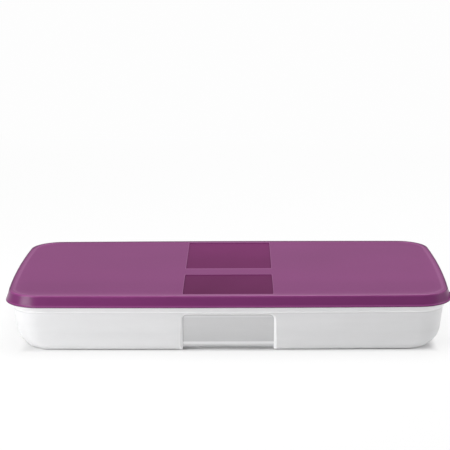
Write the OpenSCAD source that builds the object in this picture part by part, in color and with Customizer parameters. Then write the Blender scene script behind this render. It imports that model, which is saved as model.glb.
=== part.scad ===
// Low freezer storage box: a frosted, drafted tray with a press-on lid.
// X is the long side, -Y the front and Z up. The origin is the centre of the base, on its resting face.

/* [Overall] */
// Overall length of the closed box, without the pull tab
box_length = 340; // [280:5:380]
// Overall depth of the closed box, front to back
box_depth = 178; // [150:2:210]
// Height of the closed box, from its resting face to the top of the lid's rim
box_height = 44.6; // [42:0.2:80]
// Plan radius of the lid's corners
corner_radius = 27; // [24:1:40]
// Radius of the long sides, which bow outwards slightly
side_bow_radius = 8000; // [4000:500:12000]
// Radius of the short ends, which bow outwards slightly
end_bow_radius = 1080; // [700:20:2000]

/* [Tray] */
// Wall thickness of the tray
tray_wall = 1.6; // [1.2:0.1:2.2]
// Thickness of the tray's floor
floor_thickness = 1.8; // [1.4:0.1:2.6]
// How far the tray's upper band stands inside the lid's outline
band_inset = 5.2; // [4.8:0.1:6.2]
// Depth of the step where the band meets the main wall
band_step = 0.8; // [0.3:0.1:1.4]
// Distance from the lid's lower edge down to the step
band_drop = 4.7; // [3:0.1:7]
// Draft of the tray's walls, in degrees
wall_draft = 6.2; // [4:0.2:9]
// Radius between the long walls and the base
foot_radius = 5; // [3:0.5:6]
// Radius between the end walls and the base
end_foot_radius = 16.5; // [8:0.5:20]
// Depth of the relief pockets under the base
base_relief_depth = 0.5; // [0.3:0.1:0.8]
// Width of the ribs between the relief pockets
base_rib_width = 12; // [8:1:20]

/* [Grip recess] */
// Width of the recess in the front and back walls
recess_width = 68; // [50:1:90]
// Distance from the lid's lower edge down to the recess
recess_drop = 7.2; // [6:0.2:12]
// How far the recess is sunk at its upper edge
recess_sink = 1.5; // [0.8:0.1:2]
// Draft of the recessed panel, in degrees
recess_draft = 7.6; // [6.4:0.2:12]
// Radius of the recess's upper corners
recess_corner_radius = 3.2; // [2:0.2:6]
// How far the base stands off the surface behind the recess
recess_lift = 1.5; // [0.4:0.1:2.6]
// Sideways flare of the recess's flanks, per millimetre of depth
recess_flare = 1.2; // [0.4:0.1:1.4]

/* [Lid] */
// Wall thickness of the lid's skirt
skirt_wall = 1.6; // [1.2:0.1:2]
// Height of the lid's skirt, from its lower edge to the rim's top
skirt_height = 8.8; // [8.4:0.2:12]
// How far the skirt leans in over its height
skirt_lean = 1.7; // [1:0.1:2]
// Height of the bead along the skirt's lower edge
bead_height = 1.2; // [0.8:0.1:1.6]
// How far that bead stands out from the skirt
bead_proud = 0.8; // [0.4:0.1:1]
// Radius of the lid's upper outer edge
rim_edge_radius = 1.1; // [0.6:0.1:1.3]
// Width of the flat on top of the lid's rim
rim_flat = 1.7; // [1.2:0.1:2.4]
// How far the lid's panel lies below its rim
panel_sink = 0.6; // [0.4:0.1:0.8]
// Thickness of the lid's panel
panel_thickness = 1.6; // [1.4:0.1:2.2]
// Thickness of the sealing ring that plugs into the tray
plug_wall = 1.5; // [1.2:0.1:2]
// How far the sealing ring reaches below the panel's underside
plug_reach = 3.4; // [2.5:0.1:4]

/* [Lid inlays] */
// Width of both inlays
inlay_width = 67.6; // [50:0.5:90]
// Distance from the box's front edge to the front inlay
inlay_front_margin = 8.6; // [8:0.2:14]
// Distance from the box's back edge to the rear inlay
inlay_rear_margin = 8.4; // [8:0.2:20]
// Width of the cross band between the two inlays
cross_band_width = 19; // [12:1:30]
// Distance from the lid's centre line forward to the middle of the cross band
cross_band_forward = 13.5; // [4:0.5:20]
// Thickness of each inlay
inlay_thickness = 0.8; // [0.6:0.1:1.2]
// How far each inlay's surface lies below the panel
inlay_sink = 0.5; // [0.3:0.1:0.8]
// Radius of the inlays' corners
inlay_corner_radius = 1.2; // [0.6:0.2:4]

/* [Pull tab] */
// How far the tab stands out from the lid's bead
tab_reach = 9; // [6:0.5:12]
// Width of the tab
tab_width = 13; // [11:0.5:20]
// Thickness of the tab
tab_thickness = 1.8; // [1.4:0.1:2.4]
// Distance from the lid's centre line to the middle of the tab
tab_forward = 58; // [48:0.5:60]

/* [Fit] */
// Gap between the lid and the tray, all round
fit_gap = 0.35; // [0.3:0.05:0.6]

/* [Hidden] */

tray_colour = [0.90, 0.91, 0.92];
lid_colour = [0.53, 0.28, 0.49];
inlay_colour = [0.42, 0.18, 0.35];

corner_steps = 14;  // facets round each corner
side_steps = 10;    // facets along each long side
end_steps = 8;      // facets along each short end
fillet_steps = 6;   // facets round each fillet
disc_steps = 32;    // facets round a full circle
past = 1;           // how far a cut runs past a face
edge_break = 0.3;   // bevels along the bead
lead_in = 0.5;      // height of the bevels where the rim enters the groove
lead_width = 0.4;   // width of those bevels
neck_start = 0.6;   // from the lid's lower edge up to where the band turns out
neck_end = 2.2;     // and up to where it meets the groove
groove_rise = 0.2;  // from the panel's underside up to the groove's top
panel_slope = 1.3;  // width of the slope from the rim down to the panel
plug_lead = 0.8;    // height of the bevel at the sealing ring's lower edge
recess_behind = 8;  // how far the recess reaches in under the base
recess_front = 9;   // how far its cut starts in front of the wall
base_rim_width = 8; // flat rim round the relief pockets
pocket_radius = 5;  // corners of the relief pockets
backing_radius = 3; // corners of the thick patch behind the inlays
tab_root = 6;       // how far the tab reaches in under the bead
tab_root_flare = 1.5; // how much wider the root is, each side
tab_tip_radius = 5; // corners of the tab's tip

// Levels of the closed box, from its rim down
skirt_bottom = box_height - skirt_height;
panel_top = box_height - panel_sink;
panel_under = panel_top - panel_thickness;
groove_top = panel_under + groove_rise;
rim_top = groove_top - fit_gap;
step_top = skirt_bottom - band_drop;
recess_top = skirt_bottom - recess_drop;

// Insets from the lid's lower outline, at the levels above
skirt_inset_low = bead_proud;
skirt_inset_high = bead_proud + skirt_lean;
groove_inset_low = skirt_inset_low + skirt_wall;
groove_inset_high = skirt_inset_high + skirt_wall;
wall_inset_top = band_inset + band_step;
plug_inset = band_inset + tray_wall + fit_gap;
rim_inner_inset = skirt_inset_high + rim_edge_radius + rim_flat;
panel_inset = rim_inner_inset + panel_slope;

// Edges of the two inlays, front to back
front_inlay_span = [inlay_front_margin - box_depth / 2, -cross_band_forward - cross_band_width / 2];
rear_inlay_span = [cross_band_width / 2 - cross_band_forward, box_depth / 2 - inlay_rear_margin];
inlay_floor = panel_top - inlay_sink - inlay_thickness;

// Centre of the corner arc that touches both bowed sides
side_centre_y = box_depth / 2 - side_bow_radius;
end_centre_x = box_length / 2 - end_bow_radius;
side_reach = side_bow_radius - corner_radius;
end_reach = end_bow_radius - corner_radius;
centre_gap = norm([end_centre_x, side_centre_y]);
along = (side_reach * side_reach - end_reach * end_reach + centre_gap * centre_gap) / (2 * centre_gap);
across = sqrt(side_reach * side_reach - along * along);
line = [end_centre_x, -side_centre_y] / centre_gap;
corner_x = along * line[0] + across * line[1];
corner_y = side_centre_y + along * line[1] - across * line[0];
side_angle = asin(corner_x / side_reach);
end_angle = asin(corner_y / end_reach);

function arc_points(centre, radius, from, to, steps) =
    [for (k = [0 : steps - 1]) let (a = from + (to - from) * k / steps) centre + radius * [cos(a), sin(a)]];

// The box's outline, anticlockwise, moved inwards by an inset
function outline(inset) = concat(
    arc_points([end_centre_x, 0], end_bow_radius - inset, -end_angle, end_angle, end_steps),
    arc_points([corner_x, corner_y], corner_radius - inset, end_angle, 90 - side_angle, corner_steps),
    arc_points([0, side_centre_y], side_bow_radius - inset, 90 - side_angle, 90 + side_angle, side_steps),
    arc_points([-corner_x, corner_y], corner_radius - inset, 90 + side_angle, 180 - end_angle, corner_steps),
    arc_points([-end_centre_x, 0], end_bow_radius - inset, 180 - end_angle, 180 + end_angle, end_steps),
    arc_points([-corner_x, -corner_y], corner_radius - inset, 180 + end_angle, 270 - side_angle, corner_steps),
    arc_points([0, -side_centre_y], side_bow_radius - inset, 270 - side_angle, 270 + side_angle, side_steps),
    arc_points([corner_x, -corner_y], corner_radius - inset, 270 + side_angle, 360 - end_angle, corner_steps)
);

function lifted(points, z) = [for (p = points) [p[0], p[1], z]];

// A closed solid through loops with equal numbers of points
module loft(loops) {
    count = len(loops[0]);
    last = len(loops) - 1;
    sides = [for (i = [0 : last - 1]) for (j = [0 : count - 1]) let (n = (j + 1) % count)
        each [[i * count + j, (i + 1) * count + j, (i + 1) * count + n],
              [i * count + j, (i + 1) * count + n, i * count + n]]];
    bottom = [[for (j = [0 : count - 1]) j]];
    top = [[for (j = [count - 1 : -1 : 0]) last * count + j]];
    polyhedron(points = [for (l = loops) each l], faces = concat(bottom, sides, top));
}

// The outline squeezed along X, so that its ends stand further in than its long sides
function squeezed(inset, end_inset) =
    let (k = (box_length / 2 - end_inset) / (box_length / 2 - inset))
    [for (p = outline(inset)) [p[0] * k, p[1]]];

// A solid whose outline follows a profile of [z, inset, end inset], from the bottom up;
// a pair without an end inset is the same all round
module shell(profile) {
    loft([for (p = profile) lifted(squeezed(p[1], len(p) > 2 ? p[2] : p[1]), p[0])]);
}

// Inset of a drafted wall with a fillet at its foot, at a height above the foot
function foot_inset(height, inset_low, draft, radius) =
    let (sweep = 90 - draft)
    height >= radius * (1 - cos(sweep)) ? inset_low - height * tan(draft)
        : inset_low + radius * tan(sweep / 2) - radius * sin(acos(1 - height / radius));

// Profile of a drafted wall up to a level, with its own foot radius at the ends
function drafted_wall(bottom, top, inset_top, draft, radius, end_radius) =
    let (inset_low = inset_top + (top - bottom) * tan(draft), sweep = 90 - draft,
         side_foot = radius * (1 - cos(sweep)), end_start = acos(1 - side_foot / end_radius),
         heights = concat(
             [for (k = [0 : fillet_steps]) radius * (1 - cos(sweep * k / fillet_steps))],
             [for (k = [1 : fillet_steps])
                 end_radius * (1 - cos(end_start + (sweep - end_start) * k / fillet_steps))]))
    concat(
        [for (h = heights) [bottom + h, foot_inset(h, inset_low, draft, radius),
                            foot_inset(h, inset_low, draft, end_radius)]],
        [[top, inset_top, inset_top]]);

// Inset of the inside of the lid's skirt at a level
function groove_inset(z) = groove_inset_low + (groove_inset_high - groove_inset_low)
    * max(0, z - skirt_bottom - bead_height) / (groove_top - skirt_bottom - bead_height);

// The tray's outside, from its base up to its rim
function tray_outside() = concat(
    drafted_wall(0, step_top - band_step, wall_inset_top, wall_draft, foot_radius, end_foot_radius),
    [[step_top, band_inset],
     [skirt_bottom + neck_start, band_inset],
     [skirt_bottom + neck_end, groove_inset(skirt_bottom + neck_end) + fit_gap],
     [rim_top - lead_in, groove_inset(rim_top - lead_in) + fit_gap],
     [rim_top, groove_inset(rim_top) + fit_gap + lead_width]]);

// The tray's cavity, which runs out through its top
function tray_inside() = concat(
    drafted_wall(floor_thickness, step_top - band_step, wall_inset_top + tray_wall, wall_draft,
        foot_radius - tray_wall, end_foot_radius - tray_wall),
    [[step_top, band_inset + tray_wall], [rim_top + past, band_inset + tray_wall]]);

// The sunken wall behind the grip recess; its ends lie clear of the recess and need no fillet
function recess_profile(wall) =
    let (above = 3 * past,
         full = drafted_wall(recess_lift + wall, recess_top + above,
             wall_inset_top + recess_sink + wall - above * tan(recess_draft),
             recess_draft, foot_radius - wall, end_foot_radius - wall))
    concat([for (k = [0 : fillet_steps]) full[k]], [full[len(full) - 1]]);

// Outline of the recess, parallel to its sunken wall and a distance in front of it
function recess_loop(wall, d) =
    let (half = recess_width / 2 + recess_flare * d + wall, r = recess_corner_radius,
         top = recess_top + recess_flare * d / 2 + wall,
         low = -recess_front,
         outline = concat(
             [[-half, low], [half, low]],
             [for (k = [0 : fillet_steps]) let (a = 90 * k / fillet_steps)
                 [half - r + r * cos(a), top - r + r * sin(a)]],
             [for (k = [0 : fillet_steps]) let (a = 90 + 90 * k / fillet_steps)
                 [-half + r + r * cos(a), top - r + r * sin(a)]]))
    [for (p = outline) [p[0],
        wall_inset_top + recess_sink - box_depth / 2 - d + (recess_top - p[1]) * tan(recess_draft), p[1]]];

// What the recess takes out of the tray
module recess_cut(wall) {
    for (turn = [0, 180]) rotate([0, 0, turn])
        difference() {
            loft([for (d = [-recess_behind - wall, 0, recess_front]) recess_loop(wall, d)]);
            shell(recess_profile(wall));
        }
}

module base_relief() {
    columns = 3;
    rows = 2;
    foot = drafted_wall(0, step_top - band_step, wall_inset_top, wall_draft, foot_radius, end_foot_radius)[0];
    recess_reach = wall_inset_top + recess_sink + recess_top * tan(recess_draft) + recess_behind;
    field = [box_length - 2 * (foot[2] + base_rim_width), box_depth - 2 * (recess_reach + base_rim_width / 2)];
    cell = [(field[0] - (columns - 1) * base_rib_width) / columns,
            (field[1] - (rows - 1) * base_rib_width) / rows];
    for (i = [0 : columns - 1])
        for (j = [0 : rows - 1])
            translate([(i - (columns - 1) / 2) * (cell[0] + base_rib_width),
                       (j - (rows - 1) / 2) * (cell[1] + base_rib_width), -past])
                linear_extrude(past + base_relief_depth) rounded_rectangle(cell, pocket_radius);
}

module rounded_rectangle(size, radius) {
    for (sx = [-1, 1]) for (sy = [-1, 1])
        translate([sx * (size[0] / 2 - radius), sy * (size[1] / 2 - radius)]) circle(radius, $fn = disc_steps);
    square([size[0] - 2 * radius, size[1]], center = true);
    square([size[0], size[1] - 2 * radius], center = true);
}

module tray() {
    color(tray_colour)
    difference() {
        shell(tray_outside());
        recess_cut(0);
        difference() {
            shell(tray_inside());
            recess_cut(tray_wall);
        }
        base_relief();
    }
}

// Outer surface of the lid, from the bead to the rim
function lid_profile() = concat(
    [[skirt_bottom, edge_break], [skirt_bottom + edge_break, 0], [skirt_bottom + bead_height - edge_break, 0],
     [skirt_bottom + bead_height, skirt_inset_low]],
    [for (k = [0 : fillet_steps]) let (a = 90 * k / fillet_steps)
        [box_height - rim_edge_radius * (1 - sin(a)),
         skirt_inset_high + rim_edge_radius * (1 - cos(a))]]);

module inlay_outline(span, margin, radius) {
    translate([0, (span[0] + span[1]) / 2])
        rounded_rectangle([inlay_width + 2 * margin, span[1] - span[0] + 2 * margin], radius);
}

module inlay(span) {
    color(inlay_colour)
        translate([0, 0, inlay_floor])
            linear_extrude(inlay_thickness) inlay_outline(span, 0, inlay_corner_radius);
}

module front_inlay() {
    inlay(front_inlay_span);
}

module rear_inlay() {
    inlay(rear_inlay_span);
}

// The panel is as thick under the inlays as it is elsewhere
module inlay_backing() {
    deeper = inlay_sink + inlay_thickness;
    limit = box_depth / 2 - plug_inset - plug_wall / 2;
    translate([0, 0, panel_under - deeper])
        linear_extrude(deeper + panel_thickness / 2)
            intersection() {
                inlay_outline([front_inlay_span[0], rear_inlay_span[1]], panel_thickness, backing_radius);
                square([box_length, 2 * limit], center = true);
            }
}

module pull_tab() {
    root_x = box_length / 2 - tab_root;
    tip_x = box_length / 2 + tab_reach;
    translate([0, -tab_forward, skirt_bottom])
        linear_extrude(tab_thickness)
            hull() {
                translate([root_x, 0]) square([past, tab_width + 2 * tab_root_flare], center = true);
                for (side = [-1, 1])
                    translate([tip_x - tab_tip_radius, side * (tab_width / 2 - tab_tip_radius)])
                        circle(tab_tip_radius, $fn = disc_steps);
            }
}

module lid() {
    color(lid_colour)
    difference() {
        union() {
            difference() {
                union() {
                    shell(lid_profile());
                    pull_tab();
                }
                // inside of the skirt, up to the groove's top
                difference() {
                    shell([[skirt_bottom - past, groove_inset_low], [skirt_bottom + bead_height, groove_inset_low],
                           [groove_top - lead_in, groove_inset(groove_top - lead_in)],
                           [groove_top, groove_inset_high + lead_width]]);
                    // sealing ring and the panel's underside
                    difference() {
                        shell([[panel_under - plug_reach, plug_inset + lead_width],
                               [panel_under - plug_reach + plug_lead, plug_inset],
                               [box_height, plug_inset]]);
                        shell([[skirt_bottom - past, plug_inset + plug_wall],
                               [panel_under, plug_inset + plug_wall]]);
                    }
                }
            }
            inlay_backing();
        }
        // the panel lies below the rim
        shell([[panel_top, panel_inset], [box_height, rim_inner_inset], [box_height + past, rim_inner_inset]]);
        // seats of the two inlays
        translate([0, 0, inlay_floor])
            linear_extrude(past + inlay_sink + inlay_thickness)
                for (span = [front_inlay_span, rear_inlay_span]) inlay_outline(span, 0, inlay_corner_radius);
    }
}

tray();
lid();
front_inlay();
rear_inlay();
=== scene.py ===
from math import acos, asin, cos, hypot, pi, radians, sin, sqrt, tan

import bpy
import bmesh
from mathutils import Matrix, Vector


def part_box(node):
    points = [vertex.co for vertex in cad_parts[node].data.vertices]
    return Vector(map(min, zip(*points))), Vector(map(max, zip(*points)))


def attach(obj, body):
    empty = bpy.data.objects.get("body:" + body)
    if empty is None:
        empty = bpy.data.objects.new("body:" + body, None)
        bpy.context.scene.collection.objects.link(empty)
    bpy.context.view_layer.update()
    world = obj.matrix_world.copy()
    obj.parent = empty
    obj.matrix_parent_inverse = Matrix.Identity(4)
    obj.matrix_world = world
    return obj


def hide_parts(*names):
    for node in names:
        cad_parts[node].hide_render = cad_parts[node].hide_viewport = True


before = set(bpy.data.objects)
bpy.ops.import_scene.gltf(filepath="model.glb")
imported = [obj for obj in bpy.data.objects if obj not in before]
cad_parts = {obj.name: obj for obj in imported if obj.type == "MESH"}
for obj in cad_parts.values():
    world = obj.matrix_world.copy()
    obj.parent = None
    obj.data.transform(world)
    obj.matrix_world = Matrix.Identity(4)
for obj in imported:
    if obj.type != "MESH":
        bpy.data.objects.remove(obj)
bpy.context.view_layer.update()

mm = 0.001
near = 0.001 * mm  # levels closer than this count as one

print("stage: frame loaded")


# the outline that the lid and the tray share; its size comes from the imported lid
outlineSet = {
    "cornerRadius": 27 * mm,
    "sideBowRadius": 8000 * mm,  # the long sides
    "endBowRadius": 1080 * mm,  # the short ends
    "cornerSteps": 22,
    "sideSteps": 12,
    "endSteps": 10,
}
lidLow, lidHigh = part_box("lid")
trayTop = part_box("tray")[1].z
boxLength = -2 * lidLow.x  # from the left end, as the pull tab stands out on the right
boxDepth = lidHigh.y - lidLow.y
rimTop = lidHigh.z
lipBottom = lidLow.z
inlayNames = ("front_inlay", "rear_inlay")


def cornerPlace():
    # centre of the corner arc that touches both bowed sides
    sideY = boxDepth / 2 - outlineSet["sideBowRadius"]
    endX = boxLength / 2 - outlineSet["endBowRadius"]
    a = outlineSet["sideBowRadius"] - outlineSet["cornerRadius"]
    b = outlineSet["endBowRadius"] - outlineSet["cornerRadius"]
    gap = hypot(endX, sideY)
    along = (a * a - b * b + gap * gap) / (2 * gap)
    across = sqrt(a * a - along * along)
    ux, uy = endX / gap, -sideY / gap
    x = along * ux + across * uy
    y = sideY + along * uy - across * ux
    return Vector((x, y)), asin(x / a), asin(y / b), sideY, endX


corner, sideAngle, endAngle, sideCentreY, endCentreX = cornerPlace()


def startFresh():
    if bpy.context.object and bpy.context.object.mode != "OBJECT":
        bpy.ops.object.mode_set(mode="OBJECT")
    bpy.ops.object.select_all(action="DESELECT")


def workOn(piece):
    startFresh()
    bpy.context.view_layer.objects.active = piece
    piece.select_set(True)


def editMesh():
    return bmesh.from_edit_mesh(bpy.context.object.data)


def pickFaces(test):
    bpy.ops.mesh.select_mode(type="FACE")
    bpy.ops.mesh.select_all(action="DESELECT")
    mesh = editMesh()
    for f in mesh.faces:
        if test(f.calc_center_median(), f.normal):
            f.select_set(True)
    bmesh.update_edit_mesh(bpy.context.object.data)


def pickFlat(level):
    pickFaces(lambda c, n: abs(c.z - level) < near and abs(n.z) > 0.9)


def pickEdges(test):
    bpy.ops.mesh.select_mode(type="EDGE")
    bpy.ops.mesh.select_all(action="DESELECT")
    mesh = editMesh()
    for e in mesh.edges:
        if test(e):
            e.select_set(True)
    bmesh.update_edit_mesh(bpy.context.object.data)


def riseOf(edge):
    return abs(edge.verts[0].co.z - edge.verts[1].co.z)


def drawOutline(name, inset, z):
    # a lone vertex is spun round each arc's centre in turn, then the loop is filled
    s = outlineSet
    startFresh()
    endRadius = s["endBowRadius"] - inset
    first = Vector((endCentreX + endRadius * cos(endAngle), -endRadius * sin(endAngle), z))
    bpy.ops.mesh.primitive_plane_add(size=mm, location=first)
    piece = bpy.context.object
    piece.name = name
    bpy.ops.object.transform_apply(location=True, rotation=True, scale=True)
    bpy.ops.object.mode_set(mode="EDIT")
    bpy.ops.mesh.select_mode(type="VERT")
    bpy.ops.mesh.select_all(action="SELECT")
    bpy.ops.mesh.merge(type="CENTER")
    turnAngle = pi / 2 - endAngle - sideAngle
    arcs = [
        (Vector((endCentreX, 0, z)), 2 * endAngle, s["endSteps"]),
        (Vector((corner.x, corner.y, z)), turnAngle, s["cornerSteps"]),
        (Vector((0, sideCentreY, z)), 2 * sideAngle, s["sideSteps"]),
        (Vector((-corner.x, corner.y, z)), turnAngle, s["cornerSteps"]),
        (Vector((-endCentreX, 0, z)), 2 * endAngle, s["endSteps"]),
        (Vector((-corner.x, -corner.y, z)), turnAngle, s["cornerSteps"]),
        (Vector((0, -sideCentreY, z)), 2 * sideAngle, s["sideSteps"]),
        (Vector((corner.x, -corner.y, z)), turnAngle, s["cornerSteps"]),
    ]
    for centre, angle, steps in arcs:
        bpy.ops.mesh.spin(steps=steps, angle=-angle, center=centre, axis=(0, 0, 1))
    bpy.ops.mesh.select_all(action="SELECT")
    bpy.ops.mesh.remove_doubles(threshold=0.01 * mm)
    bpy.ops.mesh.edge_face_add()
    return piece


def followProfile(points):
    # the picked face is carried along (level, inset, end inset) steps, always inwards;
    # where the end inset differs from the inset, the face is squeezed along x as well
    for before, after in zip(points, points[1:]):
        step = after[1] - before[1]
        rise = after[0] - before[0]
        if step < near:
            bpy.ops.mesh.extrude_region_move(TRANSFORM_OT_translate={"value": (0, 0, rise)})
            continue
        bpy.ops.mesh.inset(thickness=step, depth=0, use_even_offset=True)
        bpy.ops.transform.translate(value=(0, 0, rise))
        squeeze = (boxLength / 2 - after[-1]) / (boxLength / 2 - before[-1] - step)
        if abs(squeeze - 1) > 1e-6:
            bpy.ops.transform.resize(value=(squeeze, 1, 1), center_override=(0, 0, after[0]))


def turnedBlock(name, upward, downward):
    # both profiles start at the same level and inset, the widest of the block
    z, inset = upward[0]
    level = upward[1][0]
    piece = drawOutline(name, inset, z)
    bpy.ops.mesh.select_mode(type="FACE")
    bpy.ops.mesh.select_all(action="SELECT")
    bpy.ops.mesh.extrude_region_move(TRANSFORM_OT_translate={"value": (0, 0, level - z)})
    pickFlat(level)
    followProfile(upward[1:])
    pickFlat(z)
    followProfile(downward)
    bpy.ops.mesh.select_all(action="SELECT")
    bpy.ops.mesh.normals_make_consistent(inside=False)
    bpy.ops.object.mode_set(mode="OBJECT")
    return piece


def footInset(height, insetLow, draft, radius):
    # inset of a drafted wall with a fillet at its foot, at a height above the foot
    sweep = pi / 2 - draft
    if height >= radius * (1 - cos(sweep)):
        return insetLow - height * tan(draft)
    return insetLow + radius * tan(sweep / 2) - radius * sin(acos(1 - height / radius))


def filletProfile(bottom, top, insetTop, draft, radius, endRadius, steps):
    # a drafted wall from its top down, with its own foot radius at the ends
    sweep = pi / 2 - draft
    insetLow = insetTop + (top - bottom) * tan(draft)
    heights = [radius * (1 - cos(sweep * k / steps)) for k in range(steps + 1)]
    # a larger radius at the ends reaches higher, so its arc goes on above the side's
    endStart = acos(1 - radius * (1 - cos(sweep)) / endRadius)
    left = sweep - endStart
    if left > 0.01:
        heights += [endRadius * (1 - cos(endStart + left * k / steps))
                    for k in range(1, steps + 1)]
    points = [(top, insetTop, insetTop)]
    for height in reversed(heights):
        points.append((bottom + height, footInset(height, insetLow, draft, radius),
                       footInset(height, insetLow, draft, endRadius)))
    return points


def roundedBlock(name, size, place, radius, steps=6):
    # a cube with its upright edges rounded
    startFresh()
    bpy.ops.mesh.primitive_cube_add(size=1, location=place, scale=size)
    piece = bpy.context.object
    piece.name = name
    bpy.ops.object.transform_apply(location=True, rotation=True, scale=True)
    bpy.ops.object.mode_set(mode="EDIT")
    pickEdges(lambda e: riseOf(e) > size[2] / 2)
    bpy.ops.mesh.bevel(offset=radius, segments=steps, profile=0.5, affect="EDGES")
    bpy.ops.object.mode_set(mode="OBJECT")
    return piece


def combine(piece, other, operation):
    workOn(piece)
    cut = piece.modifiers.new("combine", "BOOLEAN")
    cut.operation = operation
    cut.solver = "EXACT"
    cut.object = other
    bpy.ops.object.modifier_apply(modifier=cut.name)
    bpy.data.objects.remove(other, do_unlink=True)


def copyOf(piece, name):
    twin = piece.copy()
    twin.data = piece.data.copy()
    twin.name = name
    bpy.context.scene.collection.objects.link(twin)
    return twin


def finishMesh(piece):
    # doubles merged, soft edges shaded smooth, large faces kept flat
    workOn(piece)
    bpy.ops.object.mode_set(mode="EDIT")
    bpy.ops.mesh.select_all(action="SELECT")
    bpy.ops.mesh.remove_doubles(threshold=0.004 * mm)
    bpy.ops.mesh.select_all(action="DESELECT")
    bpy.ops.object.mode_set(mode="OBJECT")
    bpy.ops.object.shade_smooth_by_angle(angle=radians(32))
    weighted = piece.modifiers.new("weighted", "WEIGHTED_NORMAL")
    weighted.keep_sharp = True
    weighted.mode = "FACE_AREA"
    weighted.weight = 50
    bpy.ops.object.modifier_apply(modifier=weighted.name)


# tray

traySet = {
    "wall": 1.6 * mm,
    "floor": 1.8 * mm,
    "bandInset": 5.2 * mm,  # the upright band under the lid
    "bandStart": 0.6 * mm,  # above the lid's lower edge
    "bandDrop": 4.7 * mm,
    "bandStep": 0.8 * mm,
    "stepEase": 0.12 * mm,
    "draft": radians(6.2),
    "footRadius": 5 * mm,
    "endFootRadius": 16.5 * mm,
    "footSteps": 8,
    "reliefGrid": (3, 2),
    "reliefDepth": 0.5 * mm,
    "reliefRib": 12 * mm,
    "reliefRim": 8 * mm,
    "reliefCorner": 5 * mm,
    "recessWidth": 68 * mm,
    "recessDrop": 7.2 * mm,
    "recessSink": 1.5 * mm,
    "recessDraft": radians(7.6),
    "recessCorner": 3.2 * mm,
    "recessLift": 1.5 * mm,
    "recessFlare": 1.2,  # how much wider the window gets, a side, for each mm outwards
    "recessReach": 9 * mm,  # how far the cutter goes outwards, then inwards, up and down
    "recessBehind": 8 * mm,
    "recessOver": 4 * mm,
    "recessUnder": 6 * mm,
    "rimStart": 2.4 * mm,  # the rim stands in the lid's groove
    "rimSlackLow": 3.1 * mm,
    "rimSlackHigh": 4.2 * mm,
    "rimEase": 0.3 * mm,
    "rimShoulder": 0.4 * mm,
    "edgeRound": 0.5 * mm,
}


def trayLevels():
    stepTop = lipBottom - traySet["bandDrop"]
    return stepTop, stepTop - traySet["bandStep"], traySet["bandInset"] + traySet["bandStep"]


def makeTray():
    s = traySet
    top, r = trayTop, s["edgeRound"]
    stepTop, wallTop, wallInset = trayLevels()
    rimLow = lipBottom + s["rimStart"]
    low, high = s["rimSlackLow"], s["rimSlackHigh"]
    outside = turnedBlock(
        "tray_body",
        [(rimLow, low), (rimLow + s["rimEase"], low), (top - r, high),
         (top - r * 0.3, high + r * 0.3), (top, high + r)],
        [(rimLow, low), (rimLow - s["rimShoulder"], low + s["rimEase"]),
         (lipBottom + s["bandStart"], s["bandInset"]), (stepTop + r * 0.6, s["bandInset"]),
         (stepTop, s["bandInset"] + s["stepEase"])]
        + filletProfile(0, wallTop, wallInset, s["draft"], s["footRadius"],
                        s["endFootRadius"], s["footSteps"]),
    )
    hollowInset = s["bandInset"] + s["wall"]
    inside = turnedBlock(
        "tray_hollow",
        [(top - mm, hollowInset), (top + mm, hollowInset)],
        [(top - mm, hollowInset), (stepTop, hollowInset)]
        + filletProfile(s["floor"], wallTop, wallInset + s["wall"], s["draft"],
                        s["footRadius"] - s["wall"], s["endFootRadius"] - s["wall"],
                        s["footSteps"] - 1),
    )
    # the recesses are cut from the hollow too, a wall larger, so the wall goes round them
    for body, wall in ((outside, 0), (inside, s["wall"])):
        combine(body, recessCutter(wall), "DIFFERENCE")
    combine(outside, inside, "DIFFERENCE")
    for relief in baseReliefs():
        combine(outside, relief, "DIFFERENCE")
    return outside


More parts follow.
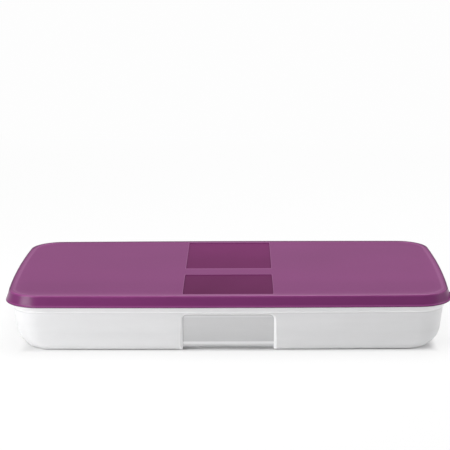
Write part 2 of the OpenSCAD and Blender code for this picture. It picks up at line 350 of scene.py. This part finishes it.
def recessCutter(wall):
    # a window at the front and one at the back, less the sunken wall behind them
    s = traySet
    reach, bottom, lean = s["recessReach"], -s["recessUnder"], tan(s["recessDraft"])
    top = lipBottom - s["recessDrop"]
    wallInset = trayLevels()[2] + s["recessSink"]
    surfaceY = -boxDepth / 2 + wallInset
    half = s["recessWidth"] / 2 + wall
    height = top + wall - bottom
    startFresh()
    bpy.ops.mesh.primitive_cube_add(
        size=1, location=(0, surfaceY, (top + wall + bottom) / 2),
        scale=(2 * half, 2 * mm, height))
    window = bpy.context.object
    window.name = "recess_window"
    bpy.ops.object.transform_apply(location=True, rotation=True, scale=True)
    bpy.ops.object.mode_set(mode="EDIT")
    pickEdges(lambda e: all(v.co.z > 0 for v in e.verts)
              and abs(e.verts[0].co.y - e.verts[1].co.y) > mm)
    bpy.ops.mesh.bevel(offset=s["recessCorner"], segments=7, profile=0.5, affect="EDGES")
    # the front of the window flares, and the back runs straight in
    pickFaces(lambda c, n: n.y < -0.9)
    bpy.ops.transform.translate(value=(0, mm, 0))
    flare = 1 + s["recessFlare"] * reach / half
    rise = 1 + s["recessFlare"] / 2 * reach / height
    bpy.ops.mesh.extrude_region_move(TRANSFORM_OT_translate={"value": (0, -reach, 0)})
    bpy.ops.transform.resize(value=(flare, 1, rise),
                             center_override=(0, surfaceY - reach, bottom))
    pickFaces(lambda c, n: n.y > 0.9)
    bpy.ops.transform.translate(value=(0, s["recessBehind"] + wall - mm, 0))
    # it leans back with the sunken wall
    bpy.ops.mesh.select_all(action="SELECT")
    mesh = editMesh()
    for v in mesh.verts:
        v.co.y += (top - v.co.z) * lean
    bmesh.update_edit_mesh(window.data)
    bpy.ops.mesh.normals_make_consistent(inside=False)
    bpy.ops.object.mode_set(mode="OBJECT")
    twin = copyOf(window, "recess_window_back")
    workOn(twin)
    twin.rotation_euler.z = pi
    bpy.ops.object.transform_apply(location=True, rotation=True, scale=True)
    window.select_set(True)
    bpy.context.view_layer.objects.active = window
    bpy.ops.object.join()
    over = s["recessOver"]
    blockInset = wallInset + wall - over * lean
    block = turnedBlock(
        "recess_block",
        [(top + over, blockInset), (top + 2 * over, blockInset)],
        [(top + over, blockInset)]
        + filletProfile(s["recessLift"] + wall, top, wallInset + wall, s["recessDraft"],
                        s["footRadius"] - wall, s["footRadius"] - wall, s["footSteps"] - 1),
    )
    combine(window, block, "DIFFERENCE")
    return window


def baseReliefs():
    # shallow pockets inside a flat rim that stays clear of the grip recesses
    s = traySet
    wallTop, wallInset = trayLevels()[1:]
    endInset = filletProfile(0, wallTop, wallInset, s["draft"], s["footRadius"],
                             s["endFootRadius"], 2)[-1][2]
    recessInset = wallInset + s["recessSink"] \
        + (lipBottom - s["recessDrop"]) * tan(s["recessDraft"]) + s["recessBehind"]
    field = (boxLength - 2 * (endInset + s["reliefRim"]),
             boxDepth - 2 * recessInset - s["reliefRim"])
    columns, rows = s["reliefGrid"]
    rib = s["reliefRib"]
    cell = ((field[0] - (columns - 1) * rib) / columns, (field[1] - (rows - 1) * rib) / rows)
    for i in range(columns):
        for j in range(rows):
            x = (i - (columns - 1) / 2) * (cell[0] + rib)
            y = (j - (rows - 1) / 2) * (cell[1] + rib)
            yield roundedBlock("relief", (*cell, 2 * s["reliefDepth"]), (x, y, 0),
                               s["reliefCorner"])


# lid

lidSet = {
    "skirtWall": 1.6 * mm,
    "lean": 1.7 * mm,
    "beadHeight": 1.2 * mm,
    "beadProud": 0.8 * mm,
    "beadRound": 0.3 * mm,
    "clear": 0.01 * mm,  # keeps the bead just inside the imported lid
    "ease": 0.05 * mm,
    "rimRadius": 1.1 * mm,
    "rimSteps": 8,
    "rimFlat": 1.7 * mm,
    "roll": ((0.05 * mm, 0.25 * mm), (0.18 * mm, 0.5 * mm)),  # the rim's inner edge
    "rollWidth": 0.9 * mm,
    "rollShare": 0.45,  # how much of the panel's sink is in the roll
    "sweepWidth": 11 * mm,  # the rest is in a long shallow sweep
    "sweepSteps": 7,
    "panelSink": 0.6 * mm,
    "panelThick": 1.6 * mm,
    "grooveRise": 0.2 * mm,
    "plugWall": 1.5 * mm,  # the sealing ring
    "plugReach": 3.4 * mm,
    "plugLead": 0.8 * mm,
    "plugLeadIn": 0.4 * mm,
    "plugRound": 0.3 * mm,
    "gap": 0.35 * mm,
    "padOverlap": 0.4 * mm,
    "padCorner": 3 * mm,
    "pocketHeight": 4 * mm,
    "tabRoot": 3.2 * mm,
    "tabWidth": 13 * mm,
    "tabThick": 1.8 * mm,
    "tabForward": 58 * mm,
    "tabCorner": 5 * mm,
    "tabEdge": 0.35 * mm,
}
inlaySet = {
    "width": 67.6 * mm,
    "thick": 0.8 * mm,
    "sink": 0.5 * mm,
    "corner": 1.2 * mm,
    "slack": 0.05 * mm,
    "edge": 0.12 * mm,
}


def makeLid():
    s = lidSet
    inset, soft, r = s["beadProud"], s["beadRound"], s["rimRadius"]
    high = inset + s["lean"]
    beadTop = lipBottom + s["beadHeight"]
    panelUnder = rimTop - s["panelSink"] - s["panelThick"]
    # up the outside: bead, ledge, skirt and rim
    up = [(lipBottom + soft, s["clear"]), (beadTop - 2 * soft, s["clear"]),
          (beadTop - 1.6 * soft, s["ease"]), (beadTop + 0.6 * soft, inset * 0.85),
          (beadTop + 2 * soft, inset + s["ease"])]
    for k in range(s["rimSteps"] + 1):
        a = pi / 2 * k / s["rimSteps"]
        up.append((rimTop - r * (1 - sin(a)), high + r * (1 - cos(a))))
    rimInner = high + r + s["rimFlat"]
    up.append((rimTop, rimInner))
    # the rim's inner edge rolls over, then the panel sweeps down from it
    for depth, width in s["roll"]:
        up.append((rimTop - depth, rimInner + width))
    edgeDepth = s["panelSink"] * s["rollShare"]
    up.append((rimTop - edgeDepth, rimInner + s["rollWidth"]))
    for k in range(1, s["sweepSteps"] + 1):
        t = k / s["sweepSteps"]
        depth = edgeDepth + (s["panelSink"] - edgeDepth) * (1 - (1 - t) ** 2)
        up.append((rimTop - depth, rimInner + s["rollWidth"] + s["sweepWidth"] * t))
    # under the bead and up the inside: skirt, groove, sealing ring and panel
    skirtIn = s["skirtWall"]
    grooveTop = panelUnder + s["grooveRise"]
    plug = traySet["bandInset"] + traySet["wall"] + s["gap"]
    plugIn = plug + s["plugWall"]
    plugEnd = panelUnder - s["plugReach"]
    down = [(lipBottom + soft, s["clear"]), (lipBottom + soft * 0.3, soft * 0.3),
            (lipBottom, soft), (lipBottom, inset + skirtIn), (beadTop, inset + skirtIn),
            (grooveTop - 0.5 * mm, high + skirtIn - 0.1 * mm),
            (grooveTop, high + skirtIn + 0.4 * mm), (grooveTop, plug),
            (plugEnd + s["plugLead"], plug), (plugEnd, plug + s["plugLeadIn"]),
            (plugEnd, plugIn - s["plugRound"]), (plugEnd + s["plugRound"], plugIn),
            (panelUnder - s["plugLead"], plugIn), (panelUnder, plugIn + s["plugLead"])]
    lid = turnedBlock("lid_shell", up, down)
    combine(lid, pullTab(), "UNION")
    # the panel is thicker behind the inlays' seats
    seat = inlaySet["sink"] + inlaySet["thick"]
    padHeight = seat + s["padOverlap"]
    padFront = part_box("front_inlay")[0].y - s["panelThick"]
    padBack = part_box("rear_inlay")[1].y + s["panelThick"]
    pad = roundedBlock(
        "inlay_pad",
        (inlaySet["width"] + 2 * s["panelThick"], padBack - padFront, padHeight),
        (0, (padFront + padBack) / 2, panelUnder - seat + padHeight / 2), s["padCorner"])
    combine(lid, pad, "UNION")
    for nodeName in inlayNames:
        a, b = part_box(nodeName)
        pocket = roundedBlock(
            "pocket", (b.x - a.x, b.y - a.y, s["pocketHeight"]),
            ((a.x + b.x) / 2, (a.y + b.y) / 2, a.z + s["pocketHeight"] / 2),
            inlaySet["corner"])
        combine(lid, pocket, "DIFFERENCE")
    return lid


def pullTab():
    s = lidSet
    root = boxLength / 2 - s["tabRoot"]
    tip = lidHigh.x
    startFresh()
    bpy.ops.mesh.primitive_cube_add(
        size=1, location=((root + tip) / 2, -s["tabForward"], lipBottom + s["tabThick"] / 2),
        scale=(tip - root, s["tabWidth"], s["tabThick"]))
    tab = bpy.context.object
    tab.name = "pull_tab"
    bpy.ops.object.transform_apply(location=True, rotation=True, scale=True)
    bpy.ops.object.mode_set(mode="EDIT")
    pickEdges(lambda e: riseOf(e) > mm and all(v.co.x > tip - mm for v in e.verts))
    bpy.ops.mesh.bevel(offset=s["tabCorner"], segments=10, profile=0.5, affect="EDGES")
    pickEdges(lambda e: riseOf(e) < 0.01 * mm and any(v.co.x > root + mm for v in e.verts))
    bpy.ops.mesh.bevel(offset=s["tabEdge"], segments=3, profile=0.5, affect="EDGES",
                       clamp_overlap=True)
    bpy.ops.object.mode_set(mode="OBJECT")
    return tab


def makeInlay(nodeName):
    s = inlaySet
    a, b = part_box(nodeName)
    slack = s["slack"]
    size = (b.x - a.x - 2 * slack, b.y - a.y - 2 * slack, b.z - a.z)
    plate = roundedBlock(nodeName + "_plate", size, (a + b) / 2, s["corner"] - slack)
    bpy.context.view_layer.objects.active = plate
    bpy.ops.object.mode_set(mode="EDIT")
    pickEdges(lambda e: all(v.co.z > b.z - 0.01 * mm for v in e.verts))
    bpy.ops.mesh.bevel(offset=s["edge"], segments=3, profile=0.5, affect="EDGES")
    bpy.ops.object.mode_set(mode="OBJECT")
    return plate


# materials

class Field:
    # a node socket that takes part in sums
    def __init__(self, finish, socket):
        self.finish = finish
        self.socket = socket

    def maths(self, kind, *terms):
        return self.finish.node("ShaderNodeMath", {"operation": kind}, dict(enumerate(terms)))

    def __add__(self, other):
        return self.maths("ADD", self, other)

    def __radd__(self, other):
        return self.maths("ADD", other, self)

    def __sub__(self, other):
        return self.maths("SUBTRACT", self, other)

    def __rsub__(self, other):
        return self.maths("SUBTRACT", other, self)

    def __mul__(self, other):
        return self.maths("MULTIPLY", self, other)

    def __rmul__(self, other):
        return self.maths("MULTIPLY", other, self)

    def __pow__(self, other):
        return self.maths("POWER", self, other)

    def __abs__(self):
        return self.maths("ABSOLUTE", self)

    def most(self, other):
        return self.maths("MAXIMUM", self, other)


class Finish:
    # the nodes of one material, or of the world
    def __init__(self, owner):
        self.owner = owner
        owner.use_nodes = True
        self.tree = owner.node_tree
        self.tree.nodes.clear()
        self.place = None

    def node(self, kind, settings, values, output=0):
        made = self.tree.nodes.new(kind)
        for key, value in settings.items():
            setattr(made, key, value)
        for key, value in values.items():
            if isinstance(value, Field):
                self.tree.links.new(value.socket, made.inputs[key])
            else:
                made.inputs[key].default_value = value
        return Field(self, made.outputs[output]) if made.outputs else None

    def objectPlace(self):
        if self.place is None:
            self.place = self.node("ShaderNodeTexCoord", {}, {}, "Object")
        return self.place

    def noise(self, scale, detail=3, roughness=0.5, stretch=None):
        place = self.objectPlace()
        if stretch:
            place = self.node("ShaderNodeMapping", {}, {"Vector": place, "Scale": stretch})
        return self.node("ShaderNodeTexNoise", {},
                         {"Vector": place, "Scale": scale, "Detail": detail,
                          "Roughness": roughness})

    def between(self, amount, low, high):
        # a mix of two colours, each a tuple or a socket
        ends = [end if isinstance(end, Field) else (*end, 1) for end in (low, high)]
        return self.node("ShaderNodeMix", {"data_type": "RGBA"},
                         {0: amount, 6: ends[0], 7: ends[1]}, 2)

    def spread(self, value, low, high, toLow, toHigh):
        return self.node("ShaderNodeMapRange", {"clamp": True},
                         {0: value, 1: low, 2: high, 3: toLow, 4: toHigh})

    def axis(self, index):
        return self.node("ShaderNodeSeparateXYZ", {}, {"Vector": self.objectPlace()}, index)

    def band(self, value, low, high, soft):
        # 1 between two limits, 0 outside them
        return self.spread(value, low - soft, low, 0, 1) \
            * self.spread(value, high, high + soft, 1, 0)

    def outside(self, low, high):
        # distance outside a rectangle on the plan, negative inside
        x = abs(self.axis(0) - (low.x + high.x) / 2) - (high.x - low.x) / 2
        y = abs(self.axis(1) - (low.y + high.y) / 2) - (high.y - low.y) / 2
        return x.most(y)

    def roundAway(self, x, y, radius):
        # distance outside a rounded corner, where x and y are distances past its centre
        overX, overY = x.most(0), y.most(0)
        return (overX * overX + overY * overY) ** 0.5 - radius

    def grainBump(self, grain, strength, distance):
        return self.node("ShaderNodeBump", {},
                         {"Strength": strength, "Distance": distance, "Height": grain})

    def finish(self, values):
        surface = self.node("ShaderNodeBsdfPrincipled", {}, {"IOR": 1.49, **values})
        self.node("ShaderNodeOutputMaterial", {}, {"Surface": surface})
        return self.owner


def newFinish(name):
    return Finish(bpy.data.materials.new(name))


lidFinishSet = {
    "low": (0.205, 0.033, 0.155),
    "high": (0.222, 0.036, 0.168),
    # pale is painted highlight and deep is painted shade, laid over the plastic's own colour
    "paintedHighlight": (0.330, 0.105, 0.265),
    "deep": (0.05, 0, 0.04),
    "rough": (0.30, 0.36),
    "wearShine": 0.03,
    "grain": 1900,
    "specular": 0.33,
    # shares of the pale colour, which is painted highlight
    "seatHighlight": 0.5,
    "seatFrontHighlight": 0.6,
    "sweepHighlight": 0.12,
    "ringHighlight": 0.5,
    "beadHighlight": 0.15,
    # shares of the deep colour, which is painted shade
    "skirtShade": 0.36,
    "lipShade": 0.25,
    "rimEdgeShade": 0.60,
    "frontShade": 0.10,
    # depths below the rim's top
    "topDepths": (1.5 * mm, 1.2 * mm),
    "sideDepths": (1.6 * mm, 0.9 * mm),
    "sweepDepths": (0.58 * mm, 0.30 * mm),
    "ringDepths": (0.32 * mm, 0.03 * mm),
    # heights above the skirt's lower edge
    "lipHeights": (0.6 * mm, 0.9 * mm),
    "beadHeights": (0.9 * mm, 1.5 * mm),
    # where the rim's painted dark edge starts and is full, measured from the outline
    "endEdge": (-4.6 * mm, -3.6 * mm),
    "sideEdge": (-7.6 * mm, -5.6 * mm),
    "cornerEdge": (-6.0 * mm, -4.6 * mm),
    # a faint band of painted shade along the panel, towards its front, standing in for a darker
    # reflection
    "frontShadePlace": (-68 * mm, -52 * mm),
    "frontShadeSoft": 18 * mm,
}


def lidFinish():
    s, o = lidFinishSet, outlineSet
    f = newFinish("lid plastic")
    across, deep, level = abs(f.axis(0)), f.axis(1), f.axis(2)
    grain = f.noise(s["grain"], 2, 0.6)
    wear = f.spread(f.noise(60, 5, 0.7, (1, 8, 1)), 0.62, 0.75, 0, 1)
    colour = f.between(f.spread(f.noise(9, 3), 0.35, 0.65, 0, 1), s["low"], s["high"])

    def belowRim(depths, toLow, toHigh):
        return f.spread(level, rimTop - depths[0], rimTop - depths[1], toLow, toHigh)

    # painted highlight lines along the seats' edges, and a longer one in front of each seat
    onTop = belowRim(s["topDepths"], 0, 1)
    seatHighlightMask = 0
    for nodeName in inlayNames:
        low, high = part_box(nodeName)
        seatHighlightMask = seatHighlightMask + f.band(f.outside(low, high), -0.1 * mm, 0.4 * mm, 0.25 * mm)
        front = f.band(deep, low.y - 2 * mm, low.y, 0.3 * mm) \
            * f.spread(across, high.x, high.x + mm, 1, 0)
        seatHighlightMask = seatHighlightMask + front * s["seatFrontHighlight"]
    # painted highlights on the rim's inner edge, on the panel's sweep towards the front, and on
    # the bead, where they catch the light
    sweep = belowRim(s["sweepDepths"], 0, 1) * f.spread(deep, 0, -80 * mm, 0.2, 1)
    ringHighlightMask = f.band(level, rimTop - s["ringDepths"][0], rimTop - s["ringDepths"][1], 0.04 * mm)
    beadHighlightMask = f.band(level, lipBottom + s["beadHeights"][0], lipBottom + s["beadHeights"][1],
                  0.2 * mm)
    paintedHighlight = seatHighlightMask * onTop * s["seatHighlight"] + sweep * s["sweepHighlight"] \
        + ringHighlightMask * s["ringHighlight"] + beadHighlightMask * s["beadHighlight"]
    # painted shade darkens the skirt, the lip's lower edge, and the rim's outer edge
    # at the ends and the back
    side = belowRim(s["sideDepths"], 1, 0) * (1 - beadHighlightMask)
    lipShadeMask = f.spread(level, lipBottom + s["lipHeights"][0], lipBottom + s["lipHeights"][1], 1, 0)
    alongSide = (across * across + (deep - sideCentreY) ** 2) ** 0.5 - o["sideBowRadius"]
    alongEnd = ((across - endCentreX) ** 2 + deep * deep) ** 0.5 - o["endBowRadius"]
    overX, overY = across - corner.x, deep - corner.y
    straight = f.spread(alongEnd, *s["endEdge"], 0, 1).most(
        f.spread(alongSide, *s["sideEdge"], 0, 1))
    turned = f.spread(f.roundAway(overX, overY, o["cornerRadius"]), *s["cornerEdge"], 0, 1) \
        * f.spread(overX, 0, mm, 0, 1) * f.spread(overY, 0, mm, 0, 1)
    rimEdgeShadeMask = straight.most(turned) * belowRim(s["sideDepths"], 0, 1)
    frontShadeMask = f.band(deep, *s["frontShadePlace"], s["frontShadeSoft"]) * onTop
    paintedShade = side * s["skirtShade"] + lipShadeMask * s["lipShade"] + rimEdgeShadeMask * s["rimEdgeShade"] \
        + frontShadeMask * s["frontShade"]
    colour = f.between(paintedShade, f.between(paintedHighlight, colour, s["paintedHighlight"]), s["deep"])
    rough = f.spread(grain, 0.3, 0.7, *s["rough"]) - wear * s["wearShine"]
    return f.finish({"Base Color": colour, "Roughness": rough,
                     "Normal": f.grainBump(grain, 0.1, 0.05 * mm),
                     "Specular IOR Level": s["specular"]})


inlayFinishSet = {
    # the back colour is lighter by painted sheen, since the back inlay is seen at a more grazing
    # angle
    "front": (0.098, 0.009, 0.062),
    "back": (0.170, 0.023, 0.117),
    "clouds": 0.2,  # share of the change that is cloudy tone; the rest is painted sheen that runs front to back
    "reach": 80 * mm,
    "rough": (0.42, 0.50),
    "grain": 2600,
    "specular": 0.09,
}


def inlayFinish():
    s = inlayFinishSet
    f = newFinish("inlay plastic")
    grain = f.noise(s["grain"], 2, 0.6)
    clouds = f.spread(f.noise(14, 2), 0.35, 0.65, 0, s["clouds"])
    # painted sheen: the colour lightens from front to back, with a cloudy tone mixed in
    back = f.spread(f.axis(1), -s["reach"], s["reach"], 0, 1)
    colour = f.between(back * (1 - s["clouds"]) + clouds, s["front"], s["back"])
    return f.finish({"Base Color": colour, "Roughness": f.spread(grain, 0.3, 0.7, *s["rough"]),
                     "Normal": f.grainBump(grain, 0.1, 0.05 * mm),
                     "Specular IOR Level": s["specular"]})


trayFinishSet = {
    "low": (0.675, 0.678, 0.685),
    "high": (0.715, 0.718, 0.725),
    "rough": (0.42, 0.52),
    "grain": 1500,
    # shares of black, painted shade; a negative share is painted highlight
    "panelShade": 0.20,
    "lineShade": 0.12,
    "underHighlightShare": -0.10,
    "creaseShade": 0.08,
    "restShade": 0.5,
    # painted glow, as emission, for light that comes through the frosted wall and lights its
    # bends
    "glow": 0.035,
    "bandGlow": 0.13,
    "flankGlow": 0.12,
    "footGlow": 0.12,
    "stepGlow": 0.06,
    "lowGlow": 0.08,
    "restGlow": -0.12,
    # levels above the base
    "panelStart": (6.9 * mm, 7.3 * mm),
    "footLevels": (5.2 * mm, 6.5 * mm),
    "lineStart": (3 * mm, 5 * mm),
    "lowLevels": (1 * mm, 14 * mm),
    "restLevels": (0.2 * mm, 1.0 * mm),
    "restWithin": (0.9 * mm, 3.0 * mm),
    "skinLevels": (5.5 * mm, 0.9 * mm),
    # depths below the recess's top or the band's step
    "underDepths": (1.9 * mm, 1.2 * mm),
    "stepDepths": (0.7 * mm, 0.1 * mm),
    "creaseDepths": (1.3 * mm, 0.9 * mm),
    "restCorner": Vector((144, 74)) * mm,
    "skinDepth": 0.8 * mm,
    "skinFoot": 4.5 * mm,
}


def trayFinish():
    s, t = trayFinishSet, traySet
    f = newFinish("frosted plastic")
    across, deep, level = abs(f.axis(0)), abs(f.axis(1)), f.axis(2)
    grain = f.noise(s["grain"], 3, 0.6)
    blend = f.noise(7, 4) * 0.6 + f.noise(30, 3, 0.5, (1, 1, 6)) * 0.4
    colour = f.between(f.spread(blend, 0.35, 0.65, 0, 1), s["low"], s["high"])
    line = 0.2 * mm

    def levelBand(top, depths, soft):
        return f.band(level, top - depths[0], top - depths[1], soft)

    # distance outside the recess's window, negative inside it
    half, bend = t["recessWidth"] / 2, t["recessCorner"]
    top = lipBottom - t["recessDrop"]
    away = f.roundAway(across - (half - bend), level - (top - bend), bend)
    # only the outer skin of the sunken wall is shaded, not the inside of the tray
    stepTop, _, wallInset = trayLevels()
    sunken = boxDepth / 2 - wallInset - t["recessSink"] - s["skinDepth"]
    skin = deep + (top - level) * tan(t["recessDraft"]) \
        + f.spread(level, *s["skinLevels"], 0, s["skinFoot"]) - sunken
    onSkin = f.spread(skin, -line, line, 0, 1)
    within = f.spread(away, 0, line, 1, 0) * onSkin
    # painted shade on the panel and its dark outline, and painted glow on the flanks and foot
    # where the wall bends
    panel = within * f.spread(level, *s["panelStart"], 0, 1)
    outline = f.band(away, -0.4 * mm, -0.05 * mm, 0.15 * mm) \
        * f.spread(level, *s["lineStart"], 0, 1)
    foot = within * f.band(level, *s["footLevels"], 0.4 * mm)
    # a painted highlight line under the recess's top
    underHighlight = within * levelBand(top, s["underDepths"], 0.3 * mm)
    flankWidth = (top - level) * (t["recessFlare"] * (tan(t["recessDraft"]) - tan(t["draft"]))) \
        + t["recessFlare"] * t["recessSink"]
    flank = f.spread(away - flankWidth, -line, 0, 1, 0) * f.spread(away, 0, line, 0, 1) \
        * f.spread(level, top - bend, top, 1, 0.3) * onSkin
    # a painted highlight on the band's step, painted shade in the crease under it, and painted
    # glow on the band above the step
    step = levelBand(stepTop, s["stepDepths"], 0.3 * mm)
    crease = levelBand(stepTop, s["creaseDepths"], line)
    bandPart = f.spread(level, stepTop - 0.3 * mm, stepTop + line, 0, 1)
    # painted shade on the lowest edges, which hardly catch any light
    footRing = f.spread(f.outside(-s["restCorner"], s["restCorner"]), 0, 2 * mm, 0, 1)
    rest = f.spread(level, *s["restLevels"], 1, 0) * footRing \
        + within * f.spread(level, *s["restWithin"], 0.6, 0)
    # painted glow on the lower wall, away from the recess
    lowPart = f.spread(level, *s["lowLevels"], 1, 0) * (1 - within)
    shade = panel * s["panelShade"] + outline * s["lineShade"] + underHighlight * s["underHighlightShare"] \
        + crease * s["creaseShade"] + rest * s["restShade"]
    glow = bandPart * (s["bandGlow"] - s["glow"]) + s["glow"] + flank * s["flankGlow"] \
        + foot * s["footGlow"] + step * s["stepGlow"] + lowPart * s["lowGlow"] \
        + rest * s["restGlow"]
    return f.finish({"Base Color": f.between(shade, colour, (0, 0, 0)),
                     "Roughness": f.spread(grain, 0.3, 0.7, *s["rough"]),
                     "Normal": f.grainBump(grain, 0.15, 0.08 * mm),
                     "Emission Color": f.between(glow, (0, 0, 0), (1, 1, 1)),
                     "Emission Strength": 1.0,
                     "Subsurface Weight": 0.25,
                     "Subsurface Radius": (0.006, 0.006, 0.006),
                     "Subsurface Scale": 1.0})


# pieces on their bodies

def dress(piece, body, nodeName, finish):
    piece.data.materials.clear()
    piece.data.materials.append(finish)
    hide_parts(nodeName)
    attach(piece, body)


trayPiece = makeTray()
finishMesh(trayPiece)
print("stage: tray", len(trayPiece.data.polygons))
lidPiece = makeLid()
finishMesh(lidPiece)
print("stage: lid", len(lidPiece.data.polygons))
purple = lidFinish()
dark = inlayFinish()
frosted = trayFinish()
dress(trayPiece, "tray", "tray", frosted)
dress(lidPiece, "lid", "lid", purple)
for nodeName in inlayNames:
    plate = makeInlay(nodeName)
    finishMesh(plate)
    dress(plate, "lid", nodeName, dark)
print("stage: inlays")


# studio

studioSet = {
    "cameraPlace": Vector((9.1, -1149.7, 299.2)) * mm,  # height above the rim
    "pitch": 13.0,
    "yaw": 0.59,
    "roll": -0.34,
    "lens": 119.43,
    "worldStrength": 0.30,
    "skyWhite": (0.98, 0.98, 0.98, 1),
    "floorTone": (0.9, 0.9, 0.9, 1),
    "floorWhite": (0.985, 0.985, 0.985, 1),
    "floorSize": 12,
    "shadowCorner": Vector((0.150, 0.075)),
    # place, aim, width and height, power
    "lamps": {
        "side": ((-0.55, -0.42, 0.16), (-0.1, 0, 0.04), (0.34, 0.12), 1.3),
        "fill": ((-0.55, -0.50, 0.55), (-0.05, 0, 0), (0.4, 0.4), 2.3),
        "right": ((0.9, -0.05, 0.35), (0.1, 0, 0.03), (0.4, 0.4), 1.3),
        "overhead": ((0.2, 0.30, 1.5), (0, 0, 0), (1.5, 1.5), 21.5),
    },
}


def makeCamera():
    s = studioSet
    startFresh()
    bpy.ops.object.camera_add()
    camera = bpy.context.object
    turn = (Matrix.Rotation(radians(s["yaw"]), 4, "Z")
            @ Matrix.Rotation(radians(90 - s["pitch"]), 4, "X")
            @ Matrix.Rotation(radians(s["roll"]), 4, "Z"))
    camera.matrix_world = Matrix.Translation(s["cameraPlace"] + Vector((0, 0, rimTop))) @ turn
    camera.data.lens = s["lens"]
    camera.data.sensor_width = 36
    camera.data.clip_end = 50
    bpy.context.scene.camera = camera


def makeFloor():
    # the paper's own white takes over away from the box, so only the contact shadow shows
    s = studioSet
    startFresh()
    bpy.ops.mesh.primitive_plane_add(size=s["floorSize"], location=(0, 0, 0))
    floor = bpy.context.object
    floor.name = "studio_floor"
    paper = newFinish("floor paper")
    seen = paper.node("ShaderNodeLightPath", {}, {}, "Is Camera Ray")
    matte = paper.node("ShaderNodeBsdfDiffuse", {}, {"Color": s["floorTone"]})
    white = paper.node("ShaderNodeEmission", {}, {"Color": s["floorWhite"], "Strength": 1})
    away = paper.outside(-s["shadowCorner"], s["shadowCorner"])
    share = paper.spread(away, 1 * mm, 8 * mm, 0, 0.80) \
        + paper.spread(away, 50 * mm, 800 * mm, 0, 0.20)
    both = paper.node("ShaderNodeMixShader", {}, {0: seen * share, 1: matte, 2: white})
    paper.node("ShaderNodeOutputMaterial", {}, {"Surface": both})
    floor.data.materials.append(paper.owner)


def makeLight():
    s = studioSet
    world = bpy.data.worlds.new("studio")
    bpy.context.scene.world = world
    sky = Finish(world)
    seen = sky.node("ShaderNodeLightPath", {}, {}, "Is Camera Ray")
    ambient = sky.node("ShaderNodeBackground", {},
                       {"Color": (1, 1, 1, 1), "Strength": s["worldStrength"]})
    white = sky.node("ShaderNodeBackground", {}, {"Color": s["skyWhite"]})
    both = sky.node("ShaderNodeMixShader", {}, {0: seen, 1: ambient, 2: white})
    sky.node("ShaderNodeOutputWorld", {}, {"Surface": both})
    for name, (place, aim, size, power) in s["lamps"].items():
        startFresh()
        bpy.ops.object.light_add(type="AREA", location=place)
        lamp = bpy.context.object
        lamp.name = name
        lamp.data.shape = "RECTANGLE"
        lamp.data.size, lamp.data.size_y = size
        lamp.data.energy = power
        lamp.rotation_euler = (Vector(aim) - Vector(place)).to_track_quat("-Z", "Y").to_euler()


makeCamera()
makeFloor()
makeLight()
bpy.context.scene.view_settings.view_transform = "Standard"
print("stage: studio")
